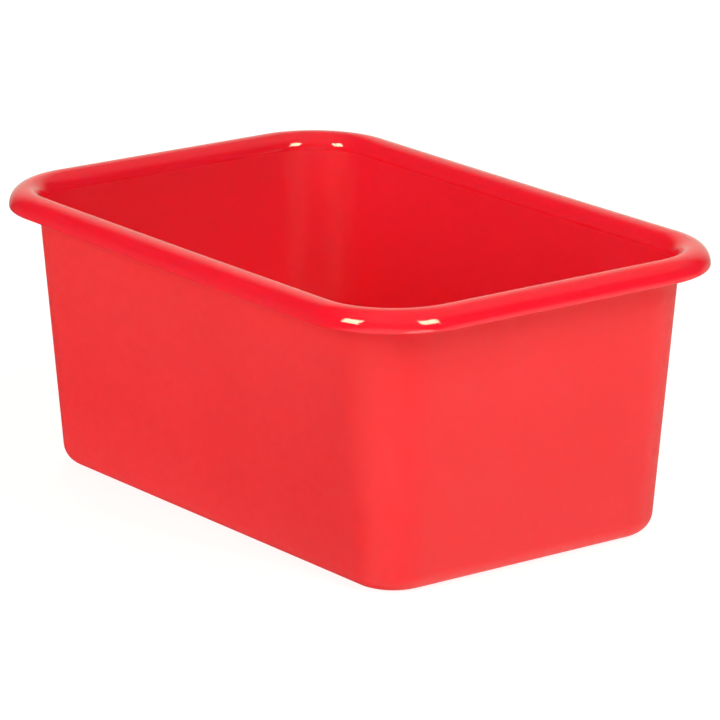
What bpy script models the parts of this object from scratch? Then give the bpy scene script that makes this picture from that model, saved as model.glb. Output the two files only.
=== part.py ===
"""Open-topped art supply box: one injection-moulded tub with a rolled rim.

Metres, +Z up. X runs along the length and Y along the width. The origin is at the centre of the
footprint, on the surface that the box stands on.
"""

import math

import bmesh
import bpy

# Overall size, measured over the rim
LENGTH = 0.290
WIDTH = 0.197
HEIGHT = 0.125

# Plastic thickness
WALL = 0.0018
FLOOR = 0.0020

# Rim: a rounded bead that turns out and down, and is hollow underneath
RIM_CORNER_RADIUS = 0.0425
RIM_OVERHANG = 0.0123
RIM_DROP = 0.0087
RIM_CREST_INSET = 0.0076
RIM_INNER_DROP = 0.0070
LIP_EDGE_RADIUS = 0.0008

# Walls: they lean in towards the base, so that boxes nest and leave the mould
WALL_LEAN = 0.0103
BASE_CORNER_RADIUS = 0.0205
BASE_EDGE_RADIUS = 0.0083

# Underside: the middle is raised, so that the box stands on a flat ring
FOOT_RING_WIDTH = 0.0060
FOOT_RING_HEIGHT = 0.0008

# Steps of each round stretch
CORNER_STEPS = 9
BEAD_STEPS = 5
EDGE_STEPS = 3
FILLET_STEPS = 4

RED = (0.78, 0.013, 0.018, 1.0)


def wall_inset(height):
    """How far the wall's outer face lies inside the rim's outermost line."""
    return RIM_OVERHANG + WALL_LEAN * (HEIGHT - height) / HEIGHT


def wall_corner_radius(height):
    """Corner radius of the wall's outer face, seen from above."""
    top_radius = RIM_CORNER_RADIUS - RIM_OVERHANG
    return BASE_CORNER_RADIUS + (top_radius - BASE_CORNER_RADIUS) * height / HEIGHT


def quarter_turn(steps):
    """Angles of a quarter turn, both ends included."""
    return [math.radians(90 * step / steps) for step in range(steps + 1)]


# Each stretch of the cross-section is a list of (inset, height, corner radius). Together they run
# from the middle of the underside, up the outside, over the rim and down the inside.


def underside():
    ring_outer = wall_inset(0) + BASE_EDGE_RADIUS
    ring_inner = ring_outer + FOOT_RING_WIDTH
    ring_corner = BASE_CORNER_RADIUS - BASE_EDGE_RADIUS
    panel_corner = ring_corner - FOOT_RING_WIDTH
    return [
        (ring_inner + FOOT_RING_HEIGHT, FOOT_RING_HEIGHT, panel_corner),
        (ring_inner, 0.0, panel_corner),
    ]


def base_edge():
    """Rounded edge between the underside and the outer wall."""
    stretch = []
    for angle in reversed(quarter_turn(FILLET_STEPS)):
        height = BASE_EDGE_RADIUS * (1 - math.sin(angle))
        pulled_in = BASE_EDGE_RADIUS * (1 - math.cos(angle))
        corner = max(wall_corner_radius(height) - pulled_in, BASE_CORNER_RADIUS - BASE_EDGE_RADIUS)
        stretch.append((wall_inset(height) + pulled_in, height, corner))
    return stretch


def bead_inside(thickness, steps):
    """Inner half of the bead, from the wall up to the crest, thickness below the outer surface."""
    drop = RIM_INNER_DROP - thickness
    crest_height = HEIGHT - thickness
    stretch = []
    for angle in reversed(quarter_turn(steps)):
        height = crest_height - drop * (1 - math.cos(angle))
        wall_face = wall_inset(height) + WALL - thickness
        inset = RIM_CREST_INSET + (wall_face - RIM_CREST_INSET) * math.sin(angle)
        stretch.append((inset, height, RIM_CORNER_RADIUS - inset))
    return stretch


def bead_outside(thickness, steps):
    """Outer half of the bead, from the crest down to the lip, thickness inside the surface."""
    reach = RIM_CREST_INSET - thickness
    drop = RIM_DROP - thickness - LIP_EDGE_RADIUS
    stretch = []
    for angle in quarter_turn(steps)[1:]:
        inset = RIM_CREST_INSET - reach * math.sin(angle)
        height = HEIGHT - thickness - drop * (1 - math.cos(angle))
        stretch.append((inset, height, RIM_CORNER_RADIUS - inset))
    return stretch


def lip_edge():
    """Lower edge of the lip, rounded on the outside and square to the channel."""
    bottom = HEIGHT - RIM_DROP
    stretch = [(WALL, bottom, RIM_CORNER_RADIUS - WALL)]
    for angle in reversed(quarter_turn(EDGE_STEPS)):
        inset = LIP_EDGE_RADIUS * (1 - math.cos(angle))
        height = bottom + LIP_EDGE_RADIUS * (1 - math.sin(angle))
        stretch.append((inset, height, RIM_CORNER_RADIUS - inset))
    return stretch[:-1]


def inner_wall_and_floor():
    """Inner wall's foot, rounded into the flat floor."""
    radius = BASE_EDGE_RADIUS - WALL
    floor_height = FOOT_RING_HEIGHT + FLOOR
    stretch = []
    for angle in quarter_turn(FILLET_STEPS):
        height = floor_height + radius * (1 - math.sin(angle))
        pulled_in = radius * (1 - math.cos(angle))
        corner = wall_corner_radius(height) - WALL - pulled_in
        stretch.append((wall_inset(height) + WALL + pulled_in, height, corner))
    return stretch


def cross_section():
    outside = underside() + base_edge()
    channel = bead_inside(WALL, BEAD_STEPS) + bead_outside(WALL, BEAD_STEPS)
    bead = list(reversed(bead_outside(0.0, BEAD_STEPS))) + list(reversed(bead_inside(0.0, BEAD_STEPS)))
    return outside + channel + lip_edge() + bead + inner_wall_and_floor()


def rounded_rectangle(inset, height, corner_radius):
    """Corner points of one level ring, anticlockwise seen from above."""
    across = LENGTH / 2 - inset - corner_radius
    along = WIDTH / 2 - inset - corner_radius
    points = []
    for corner, (side_x, side_y) in enumerate([(1, 1), (-1, 1), (-1, -1), (1, -1)]):
        for step in range(CORNER_STEPS + 1):
            angle = math.radians(90 * (corner + step / CORNER_STEPS))
            x = side_x * across + corner_radius * math.cos(angle)
            y = side_y * along + corner_radius * math.sin(angle)
            points.append((x, y, height))
    return points


def red_plastic():
    material = bpy.data.materials.new("red_plastic")
    material.use_nodes = True
    shader = material.node_tree.nodes["Principled BSDF"]
    shader.inputs["Base Color"].default_value = RED
    shader.inputs["Roughness"].default_value = 0.35
    shader.inputs["Metallic"].default_value = 0.0
    return material


def moulded_tub():
    """Sweeps the cross-section round the box and closes it with the underside and the floor."""
    shape = bmesh.new()
    rings = []
    for inset, height, corner_radius in cross_section():
        rings.append([shape.verts.new(point) for point in rounded_rectangle(inset, height, corner_radius)])
    shape.faces.new(reversed(rings[0]))
    shape.faces.new(rings[-1])
    for lower, upper in zip(rings, rings[1:]):
        for index in range(len(lower)):
            after = (index + 1) % len(lower)
            shape.faces.new((lower[index], lower[after], upper[after], upper[index]))
    bmesh.ops.recalc_face_normals(shape, faces=shape.faces)
    mesh = bpy.data.meshes.new("moulded_tub")
    shape.to_mesh(mesh)
    shape.free()
    mesh.materials.append(red_plastic())
    mesh.shade_smooth()
    mesh.set_sharp_from_angle(angle=math.radians(50))
    tub = bpy.data.objects.new("moulded_tub", mesh)
    bpy.context.scene.collection.objects.link(tub)
    return tub


for old in list(bpy.data.objects):
    bpy.data.objects.remove(old)
moulded_tub()
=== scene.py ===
"""Looks of the art supply box: a red injection-moulded tub on a pale studio floor.

Metres, +Z up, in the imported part's frame: X along the length, Y along the width, origin at the
centre of the footprint. The tub is one moulding, so one fine mesh replaces its one CAD node.
"""

import math

import bpy
from mathutils import Matrix, Vector


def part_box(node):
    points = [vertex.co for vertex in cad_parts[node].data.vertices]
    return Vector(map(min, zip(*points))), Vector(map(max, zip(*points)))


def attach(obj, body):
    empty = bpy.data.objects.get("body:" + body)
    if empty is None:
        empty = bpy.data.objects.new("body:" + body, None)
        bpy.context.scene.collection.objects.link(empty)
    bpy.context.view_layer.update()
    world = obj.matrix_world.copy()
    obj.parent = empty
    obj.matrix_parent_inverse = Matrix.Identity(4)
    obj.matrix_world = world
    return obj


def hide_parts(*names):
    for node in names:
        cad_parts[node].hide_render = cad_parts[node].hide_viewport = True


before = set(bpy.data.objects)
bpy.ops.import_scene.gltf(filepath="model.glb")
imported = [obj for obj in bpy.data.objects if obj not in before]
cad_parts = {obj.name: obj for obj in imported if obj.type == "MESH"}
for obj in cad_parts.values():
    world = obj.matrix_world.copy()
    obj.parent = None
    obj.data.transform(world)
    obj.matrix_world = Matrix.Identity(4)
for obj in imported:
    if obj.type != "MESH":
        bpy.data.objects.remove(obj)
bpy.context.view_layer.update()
low_corner, high_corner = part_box("moulded_tub")

# Overall size, from the frame
LENGTH = high_corner.x - low_corner.x
WIDTH = high_corner.y - low_corner.y
HEIGHT = high_corner.z - low_corner.z

# The tub's own sizes, as in the CAD part
WALL = 0.0018
FLOOR = 0.0020
RIM_CORNER_RADIUS = 0.0425
RIM_OVERHANG = 0.0123
RIM_DROP = 0.0087
RIM_CREST_INSET = 0.0076
RIM_INNER_DROP = 0.0070
LIP_EDGE_RADIUS = 0.0008
WALL_LEAN = 0.0103
BASE_CORNER_RADIUS = 0.0205
BASE_EDGE_RADIUS = 0.0083
FOOT_RING_WIDTH = 0.0060
FOOT_RING_HEIGHT = 0.0008

# Details too fine for the CAD part. The gate mark's profile is in shares of its radius and its rise.
STEP_EDGE_RADIUS = 0.0003
GATE_RADIUS = 0.0045
GATE_RISE = 0.0003
GATE_PROFILE = ((0.3, 1.0), (0.8, 1.0), (0.92, 0.7), (1.0, 0.0), (1.3, 0.0))
SIDE_SAG = 0.0005

# Steps of the fine mesh, its extra ring on the raised panel, its smallest ring on the inside floor,
# and the angle in degrees past which an edge isn't smoothed
CORNER_STEPS = 28
SIDE_STEPS = 16
WALL_STEPS = 14
BEAD_STEPS = 14
LIP_STEPS = 5
FILLET_STEPS = 10
PANEL_MARGIN = 0.020
CENTRE_RADIUS = 0.009
SHARP_ANGLE = 50

# Finish zones along the cross-section, from the polished rim to the fine matte grain outside, and
# how far below the bead the polish has ended
POLISHED = 0.0
SATIN = 0.8
MATTE = 1.0
FINISH_LINE = 0.0004

# Red plastic: colour, gloss, and the size of its patches, mottling and grain
REFRACTIVE_INDEX = 1.49
SMOOTH_RED = (0.81, 0.012, 0.039, 1)
GRAINED_RED = (0.81, 0.034, 0.050, 1)
DENSER_PIGMENT = (0.96, 0.88, 0.88, 1)
GLOW_DEPTH = 0.005
GLOW_BY_COLOUR = (1.0, 0.06, 0.06)
PATCH_SIZE = 0.060
MOTTLE_SIZE = 0.004
GRAIN_SIZE = 0.0009
GRAIN_DEPTH = 0.00002
POLISHED_ROUGHNESS = 0.05
MATTE_ROUGHNESS = 0.46
UNEVEN_GLOSS = (0.85, 1.15)
NOISE_MIDDLE = (0.3, 0.7)

# Stage: west, south, east and north edges of the table and of the dark card, a painted shadow beside the tub
TABLE_EDGES = (-3, -3, 3, 3)
TABLE_COLOUR = (0.25, 0.25, 0.25)
TABLE_GLOW = 0.85
# The card is painted shade: it stands for the table's shadow beside the tub and shows only in the tub's
# sheen
SHADOW_CARD_EDGES = (-0.25, -0.165, 0.11, -0.095)
SHADOW_CARD_HEIGHT = 0.0005
SHADOW_CARD_COLOUR = (0.02, 0.02, 0.02)
STAGE_ROUGHNESS = 0.8

# Directions are an azimuth and an elevation in degrees. Azimuth 0 is in front of the long side, 90
# is to its right. Two softboxes show as highlights on the rim, and wide fills beside them light the walls.
SOFTBOXES = {"softbox_left": (5, 31), "softbox_right": (93, 32)}
FILLS = {"fill_left": (-4, 20), "fill_right": (98, 42)}
LIGHT_DISTANCE = 2.0
SOFTBOX_SIZE = (0.66, 0.74)
SOFTBOX_POWER = 40
SOFTBOX_COLOUR = (1.0, 0.86, 0.56)
FILL_SIZE = (0.9, 1.1)
FILL_POWER = 26
WARM_WHITE = (1.0, 0.95, 0.80)

# Large soft patches of the studio round the tub, over its general level: name, azimuth, elevation,
# edge and softness in degrees, and radiance. Those below the horizon stand for light from the table.
STUDIO_LEVEL = 0.06
PATCHES = (
    ("backdrop", -128, 18, 30, 20, 0.95),
    ("ceiling", -185, 68, 34, 14, 0.50),
    ("overhead", 60, 70, 35, 20, 0.50),
    ("table_right", 135, -45, 42, 8, 1.15),
    ("table_front", 45, -45, 48, 14, 1.40),
    ("table_glow", 82, -25, 16, 5, 6.0),
    ("table_left", -50, -30, 38, 18, 0.22),
    ("table_behind", -165, -35, 30, 15, 0.60),
    ("front", 50, 15, 35, 20, 0.25),
)

# Camera: a long lens from the front right corner, as a catalogue picture has
VIEW_DIRECTION = (53.04, 16.1)
VIEW_ROLL = 0.1
VIEW_DISTANCE = 2.103
SENSOR_WIDTH = 36
LENS = 245.9
SHIFT_X = 0.0113
SHIFT_Y = -0.0072


def wall_inset(height):
    """How far the wall's outer face lies inside the rim's outermost line."""
    return RIM_OVERHANG + WALL_LEAN * (HEIGHT - height) / HEIGHT


def wall_corner_radius(height):
    """Corner radius of the wall's outer face, seen from above."""
    top_radius = RIM_CORNER_RADIUS - RIM_OVERHANG
    return BASE_CORNER_RADIUS + (top_radius - BASE_CORNER_RADIUS) * height / HEIGHT


def quarter_turn(steps):
    """Angles of a quarter turn, both ends included."""
    return [math.radians(90 * step / steps) for step in range(steps + 1)]


def level_ring(inset, height, corner, finish):
    """One ring of the sweep: half length, half width, height, corner radius and finish."""
    return (LENGTH / 2 - inset, WIDTH / 2 - inset, height, corner, finish)


def gate_mark():
    """Round moulding-gate mark in the middle of the underside, from its centre outwards."""
    stretch = []
    for share_of_radius, share_of_rise in GATE_PROFILE:
        radius = GATE_RADIUS * share_of_radius
        height = FOOT_RING_HEIGHT - GATE_RISE * share_of_rise
        stretch.append((radius, radius, height, radius, MATTE))
    return stretch


def underside():
    """Raised middle panel, the small step round it and the flat ring that the tub stands on."""
    ring_outer = wall_inset(0) + BASE_EDGE_RADIUS
    ring_inner = ring_outer + FOOT_RING_WIDTH
    corner = BASE_CORNER_RADIUS - BASE_EDGE_RADIUS - FOOT_RING_WIDTH
    step = FOOT_RING_HEIGHT
    soft = STEP_EDGE_RADIUS
    return [
        level_ring(ring_inner + step + PANEL_MARGIN, step, corner, MATTE),
        level_ring(ring_inner + step + soft, step, corner, MATTE),
        level_ring(ring_inner + step, step - soft / 2, corner, MATTE),
        level_ring(ring_inner + soft, soft / 2, corner, MATTE),
        level_ring(ring_inner, 0.0, corner, MATTE),
        level_ring(ring_inner - soft, 0.0, corner, MATTE),
    ]


def base_edge():
    """Rounded edge between the underside and the outer wall."""
    stretch = []
    for angle in reversed(quarter_turn(FILLET_STEPS)):
        height = BASE_EDGE_RADIUS * (1 - math.sin(angle))
        pulled_in = BASE_EDGE_RADIUS * (1 - math.cos(angle))
        corner = max(wall_corner_radius(height) - pulled_in, BASE_CORNER_RADIUS - BASE_EDGE_RADIUS)
        stretch.append(level_ring(wall_inset(height) + pulled_in, height, corner, MATTE))
    return stretch


def outer_wall():
    """Leaning outer wall, from the base edge up to the channel under the rim."""
    bottom = BASE_EDGE_RADIUS
    top = HEIGHT - RIM_INNER_DROP
    stretch = []
    for step in range(1, WALL_STEPS):
        height = bottom + (top - bottom) * step / WALL_STEPS
        stretch.append(level_ring(wall_inset(height), height, wall_corner_radius(height), MATTE))
    return stretch


def bead_inside(thickness, finish):
    """Inner half of the rim's bead, from the wall up to the crest, thickness below the surface."""
    drop = RIM_INNER_DROP - thickness
    stretch = []
    for angle in reversed(quarter_turn(BEAD_STEPS)):
        height = HEIGHT - thickness - drop * (1 - math.cos(angle))
        wall_face = wall_inset(height) + WALL - thickness
        inset = RIM_CREST_INSET + (wall_face - RIM_CREST_INSET) * math.sin(angle)
        stretch.append(level_ring(inset, height, RIM_CORNER_RADIUS - inset, finish))
    return stretch


def bead_outside(thickness, finish):
    """Outer half of the bead, from the crest down to the lip, thickness inside the surface."""
    reach = RIM_CREST_INSET - thickness
    drop = RIM_DROP - thickness - LIP_EDGE_RADIUS
    stretch = []
    for angle in quarter_turn(BEAD_STEPS)[1:]:
        inset = RIM_CREST_INSET - reach * math.sin(angle)
        height = HEIGHT - thickness - drop * (1 - math.cos(angle))
        stretch.append(level_ring(inset, height, RIM_CORNER_RADIUS - inset, finish))
    return stretch


def lip_edge():
    """Lower edge of the lip, rounded on the outside and nearly square to the channel."""
    bottom = HEIGHT - RIM_DROP
    soft = STEP_EDGE_RADIUS
    inner = RIM_CORNER_RADIUS - WALL
    stretch = [level_ring(WALL, bottom + soft, inner, POLISHED)]
    stretch.append(level_ring(WALL - soft, bottom, inner + soft, POLISHED))
    for angle in reversed(quarter_turn(LIP_STEPS)):
        inset = LIP_EDGE_RADIUS * (1 - math.cos(angle))
        height = bottom + LIP_EDGE_RADIUS * (1 - math.sin(angle))
        stretch.append(level_ring(inset, height, RIM_CORNER_RADIUS - inset, POLISHED))
    return stretch[:-1]


def inner_wall():
    """Leaning inner wall, from the bead down to the rounding at its foot."""
    bottom = FOOT_RING_HEIGHT + FLOOR + BASE_EDGE_RADIUS - WALL
    top = HEIGHT - RIM_INNER_DROP
    heights = [top - FINISH_LINE]
    heights += [top + (bottom - top) * step / WALL_STEPS for step in range(1, WALL_STEPS)]
    stretch = []
    for height in heights:
        corner = wall_corner_radius(height) - WALL
        stretch.append(level_ring(wall_inset(height) + WALL, height, corner, SATIN))
    return stretch


def inner_floor():
    """Inner wall's foot, rounded into the flat floor, and the floor itself."""
    radius = BASE_EDGE_RADIUS - WALL
    floor_height = FOOT_RING_HEIGHT + FLOOR
    stretch = []
    for angle in quarter_turn(FILLET_STEPS):
        height = floor_height + radius * (1 - math.sin(angle))
        pulled_in = radius * (1 - math.cos(angle))
        corner = wall_corner_radius(height) - WALL - pulled_in
        stretch.append(level_ring(wall_inset(height) + WALL + pulled_in, height, corner, SATIN))
    stretch.append((CENTRE_RADIUS, CENTRE_RADIUS, floor_height, CENTRE_RADIUS, SATIN))
    return stretch


def cross_section():
    """Every ring, from the middle of the underside, up the outside, over the rim and down inside."""
    outside = gate_mark() + underside() + base_edge() + outer_wall()
    channel = bead_inside(WALL, MATTE) + bead_outside(WALL, MATTE)
    bead = list(reversed(bead_outside(0.0, POLISHED))) + list(reversed(bead_inside(0.0, POLISHED)))
    return outside + channel + lip_edge() + bead + inner_wall() + inner_floor()


def settle(x, y, height):
    """Slight sag of the long sides midway along, as a cooled moulding has. None at the base."""
    along = max(0.0, 1 - (2 * x / LENGTH) ** 2)
    risen = max(0.0, height / HEIGHT) ** 2
    outwards = min(1.0, abs(2 * y) / WIDTH)
    return (x, y, height - SIDE_SAG * along * risen * outwards)


def ring_points(half_length, half_width, height, corner):
    """Points of one level rounded rectangle, anticlockwise seen from above."""
    flat_x = half_length - corner
    flat_y = half_width - corner
    corners = [(flat_x, flat_y), (-flat_x, flat_y), (-flat_x, -flat_y), (flat_x, -flat_y)]
    points = []
    for number, (centre_x, centre_y) in enumerate(corners):
        for step in range(CORNER_STEPS + 1):
            angle = math.radians(90 * (number + step / CORNER_STEPS))
            points.append((centre_x + corner * math.cos(angle), centre_y + corner * math.sin(angle), height))
        next_x, next_y = corners[(number + 1) % 4]
        turned = math.radians(90 * (number + 1))
        start = Vector((centre_x + corner * math.cos(turned), centre_y + corner * math.sin(turned), height))
        end = Vector((next_x + corner * math.cos(turned), next_y + corner * math.sin(turned), height))
        for step in range(1, SIDE_STEPS):
            points.append(tuple(start.lerp(end, step / SIDE_STEPS)))
    return [settle(*point) for point in points]


def tub_mesh():
    """Sweeps the cross-section round the tub. The finish of each ring is kept as an attribute."""
    vertices = []
    finishes = []
    faces = []
    rings = cross_section()
    for half_length, half_width, height, corner, finish in rings:
        points = ring_points(half_length, half_width, height, corner)
        vertices.extend(points)
        finishes.extend([finish] * len(points))
    count = len(vertices) // len(rings)
    for ring in range(len(rings) - 1):
        for index in range(count):
            after = (index + 1) % count
            lower = ring * count
            upper = lower + count
            faces.append((lower + index, lower + after, upper + after, upper + index))
    faces.append(tuple(reversed(range(count))))
    faces.append(tuple(range(len(vertices) - count, len(vertices))))
    mesh = bpy.data.meshes.new("red_tub")
    mesh.from_pydata(vertices, [], faces)
    mesh.update()
    grain = mesh.attributes.new("grain", "FLOAT", "POINT")
    grain.data.foreach_set("value", finishes)
    mesh.shade_smooth()
    mesh.set_sharp_from_angle(angle=math.radians(SHARP_ANGLE))
    return mesh


def noise(nodes, links, place, size, detail):
    """Noise over the surface, with features about size metres across."""
    texture = nodes.new("ShaderNodeTexNoise")
    texture.inputs["Scale"].default_value = 1 / size
    texture.inputs["Detail"].default_value = detail
    links.new(place.outputs["Object"], texture.inputs["Vector"])
    return texture.outputs["Fac"]


def spread(nodes, links, value, lowest, highest):
    """A noise value, its middle part stretched to run from lowest to highest."""
    stretched = nodes.new("ShaderNodeMapRange")
    stretched.inputs["From Min"].default_value = NOISE_MIDDLE[0]
    stretched.inputs["From Max"].default_value = NOISE_MIDDLE[1]
    stretched.inputs["To Min"].default_value = lowest
    stretched.inputs["To Max"].default_value = highest
    links.new(value, stretched.inputs["Value"])
    return stretched.outputs["Result"]


def combine(nodes, links, operation, first, second):
    """The two values put through one operation, such as their product or the larger of them."""
    combined = nodes.new("ShaderNodeMath")
    combined.operation = operation
    links.new(first, combined.inputs[0])
    links.new(second, combined.inputs[1])
    return combined.outputs["Value"]


def red_plastic():
    """Red polypropylene: polished rim, satin inside, fine matte grain outside."""
    material = bpy.data.materials.new("red_plastic")
    material.use_nodes = True
    nodes = material.node_tree.nodes
    links = material.node_tree.links
    shader = nodes["Principled BSDF"]
    shader.inputs["IOR"].default_value = REFRACTIVE_INDEX
    place = nodes.new("ShaderNodeTexCoord")
    grain = nodes.new("ShaderNodeAttribute")
    grain.attribute_name = "grain"

    # Colour: paler where the mould is textured, and a little denser in broad patches
    textured = nodes.new("ShaderNodeMapRange")
    textured.inputs["From Min"].default_value = SATIN
    textured.inputs["From Max"].default_value = MATTE
    links.new(grain.outputs["Fac"], textured.inputs["Value"])
    colour = nodes.new("ShaderNodeMix")
    colour.data_type = "RGBA"
    colour.inputs["A"].default_value = SMOOTH_RED
    colour.inputs["B"].default_value = GRAINED_RED
    links.new(textured.outputs["Result"], colour.inputs["Factor"])
    tone = nodes.new("ShaderNodeMix")
    tone.data_type = "RGBA"
    tone.blend_type = "MULTIPLY"
    tone.inputs["B"].default_value = DENSER_PIGMENT
    links.new(colour.outputs["Result"], tone.inputs["A"])
    patches = noise(nodes, links, place, PATCH_SIZE, detail=2)
    links.new(spread(nodes, links, patches, 0, 1), tone.inputs["Factor"])
    links.new(tone.outputs["Result"], shader.inputs["Base Color"])

    # Red light travels some way through the plastic, the rest hardly any
    shader.inputs["Subsurface Weight"].default_value = 1.0
    shader.inputs["Subsurface Scale"].default_value = GLOW_DEPTH
    shader.inputs["Subsurface Radius"].default_value = GLOW_BY_COLOUR

    # Roughness: set by the finish, broken up by fine noise
    finish = nodes.new("ShaderNodeMapRange")
    finish.inputs["To Min"].default_value = POLISHED_ROUGHNESS
    finish.inputs["To Max"].default_value = MATTE_ROUGHNESS
    links.new(grain.outputs["Fac"], finish.inputs["Value"])
    mottle = noise(nodes, links, place, MOTTLE_SIZE, detail=3)
    uneven = spread(nodes, links, mottle, *UNEVEN_GLOSS)
    roughness = combine(nodes, links, "MULTIPLY", finish.outputs["Result"], uneven)
    links.new(roughness, shader.inputs["Roughness"])

    # Relief: fine grain where the mould is textured, none on the rim or inside
    relief = nodes.new("ShaderNodeBump")
    relief.inputs["Distance"].default_value = GRAIN_DEPTH
    links.new(noise(nodes, links, place, GRAIN_SIZE, detail=4), relief.inputs["Height"])
    links.new(textured.outputs["Result"], relief.inputs["Strength"])
    links.new(relief.outputs["Normal"], shader.inputs["Normal"])
    return material


def red_tub():
    """The tub's fine mesh in its plastic, in place of the CAD node."""
    mesh = tub_mesh()
    mesh.materials.append(red_plastic())
    tub = bpy.data.objects.new("red_tub", mesh)
    bpy.context.scene.collection.objects.link(tub)
    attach(tub, "root")
    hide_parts("moulded_tub")


def compass(azimuth, elevation):
    """Unit vector in a direction from the tub."""
    turn = math.radians(azimuth)
    rise = math.radians(elevation)
    return Vector((math.sin(turn) * math.cos(rise), -math.cos(turn) * math.cos(rise), math.sin(rise)))


def stage_sheet(name, edges, height, base_colour, glow):
    """A level sheet of the stage."""
    west, south, east, north = edges
    mesh = bpy.data.meshes.new(name)
    outline = [(west, south, height), (east, south, height), (east, north, height), (west, north, height)]
    mesh.from_pydata(outline, [], [(0, 1, 2, 3)])
    material = bpy.data.materials.new(name)
    material.use_nodes = True
    shader = material.node_tree.nodes["Principled BSDF"]
    shader.inputs["Base Color"].default_value = (*base_colour, 1)
    shader.inputs["Roughness"].default_value = STAGE_ROUGHNESS
    shader.inputs["Emission Color"].default_value = (1, 1, 1, 1)
    shader.inputs["Emission Strength"].default_value = glow
    mesh.materials.append(material)
    sheet = bpy.data.objects.new(name, mesh)
    bpy.context.scene.collection.objects.link(sheet)
    return sheet


def add_stage():
    """White table, and a dark card: painted shadow beside the tub, seen only in the sheen of the tub's lower
    left wall.

    The light that a table would send back to the tub comes from the studio's patches.
    """
    floor = stage_sheet("floor", TABLE_EDGES, 0, TABLE_COLOUR, TABLE_GLOW)
    floor.visible_glossy = False
    floor.visible_diffuse = False
    # Painted shadow: this dark card stands for the table's shade beside the tub, and only the tub's gloss
    # sees it
    shadow_card = stage_sheet("painted_shadow_card", SHADOW_CARD_EDGES, SHADOW_CARD_HEIGHT, SHADOW_CARD_COLOUR, 0)
    shadow_card.visible_camera = False
    shadow_card.visible_diffuse = False
    shadow_card.visible_shadow = False


def area_light(name, direction, size, power, colour):
    """A rectangular light that faces the tub."""
    towards = compass(*direction)
    data = bpy.data.lights.new(name, "AREA")
    data.shape = "RECTANGLE"
    data.size, data.size_y = size
    data.energy = power
    data.color = colour
    light = bpy.data.objects.new(name, data)
    light.location = Vector((0, 0, HEIGHT)) + towards * LIGHT_DISTANCE
    light.rotation_euler = towards.to_track_quat("Z", "Y").to_euler()
    bpy.context.scene.collection.objects.link(light)
    return light


def add_lights():
    """Softboxes, which show only in the gloss, and fills, which only light the walls."""
    for name, direction in SOFTBOXES.items():
        softbox = area_light(name, direction, SOFTBOX_SIZE, SOFTBOX_POWER, SOFTBOX_COLOUR)
        softbox.visible_diffuse = False
    for name, direction in FILLS.items():
        fill = area_light(name, direction, FILL_SIZE, FILL_POWER, WARM_WHITE)
        fill.visible_glossy = False


def studio_patch(nodes, links, directions, name, azimuth, elevation, edge, softness, radiance):
    """Radiance of one round patch: full in its middle, and none outside its soft edge."""
    facing = nodes.new("ShaderNodeVectorMath")
    facing.operation = "DOT_PRODUCT"
    facing.inputs[1].default_value = compass(azimuth, elevation)
    links.new(directions.outputs["Generated"], facing.inputs[0])
    patch = nodes.new("ShaderNodeMapRange")
    patch.name = name
    patch.interpolation_type = "SMOOTHSTEP"
    patch.inputs["From Min"].default_value = math.cos(math.radians(edge + softness))
    patch.inputs["From Max"].default_value = math.cos(math.radians(edge - softness))
    patch.inputs["To Max"].default_value = radiance
    links.new(facing.outputs["Value"], patch.inputs["Value"])
    return patch.outputs["Result"]


def add_studio():
    """The studio round the tub, as its plastic reflects it and is lit by it."""
    world = bpy.data.worlds.new("studio")
    world.use_nodes = True
    nodes = world.node_tree.nodes
    links = world.node_tree.links
    directions = nodes.new("ShaderNodeTexCoord")
    general_level = nodes.new("ShaderNodeValue")
    general_level.outputs["Value"].default_value = STUDIO_LEVEL
    radiance = general_level.outputs["Value"]
    for patch in PATCHES:
        glow = studio_patch(nodes, links, directions, *patch)
        radiance = combine(nodes, links, "MAXIMUM", radiance, glow)
    studio = nodes["Background"]
    studio.inputs["Color"].default_value = (*WARM_WHITE, 1)
    links.new(radiance, studio.inputs["Strength"])

    # Seen directly, the studio's walls are plain white
    white = nodes.new("ShaderNodeBackground")
    white.inputs["Color"].default_value = (1, 1, 1, 1)
    rays = nodes.new("ShaderNodeLightPath")
    seen = nodes.new("ShaderNodeMixShader")
    links.new(rays.outputs["Is Camera Ray"], seen.inputs["Fac"])
    links.new(studio.outputs["Background"], seen.inputs[1])
    links.new(white.outputs["Background"], seen.inputs[2])
    links.new(seen.outputs["Shader"], nodes["World Output"].inputs["Surface"])
    bpy.context.scene.world = world
    bpy.context.scene.view_settings.view_transform = "Standard"


def add_camera():
    """Camera aimed at the middle of the tub."""
    target = Vector((0, 0, HEIGHT / 2))
    away = compass(*VIEW_DIRECTION)
    data = bpy.data.cameras.new("camera")
    data.sensor_width = SENSOR_WIDTH
    data.lens = LENS
    data.shift_x = SHIFT_X
    data.shift_y = SHIFT_Y
    camera = bpy.data.objects.new("camera", data)
    camera.location = target + away * VIEW_DISTANCE
    aimed = away.to_track_quat("Z", "Y").to_matrix()
    roll = Matrix.Rotation(math.radians(VIEW_ROLL), 3, "Z")
    camera.rotation_euler = (aimed @ roll).to_euler()
    bpy.context.scene.collection.objects.link(camera)
    bpy.context.scene.camera = camera


red_tub()
add_stage()
add_studio()
add_lights()
add_camera()
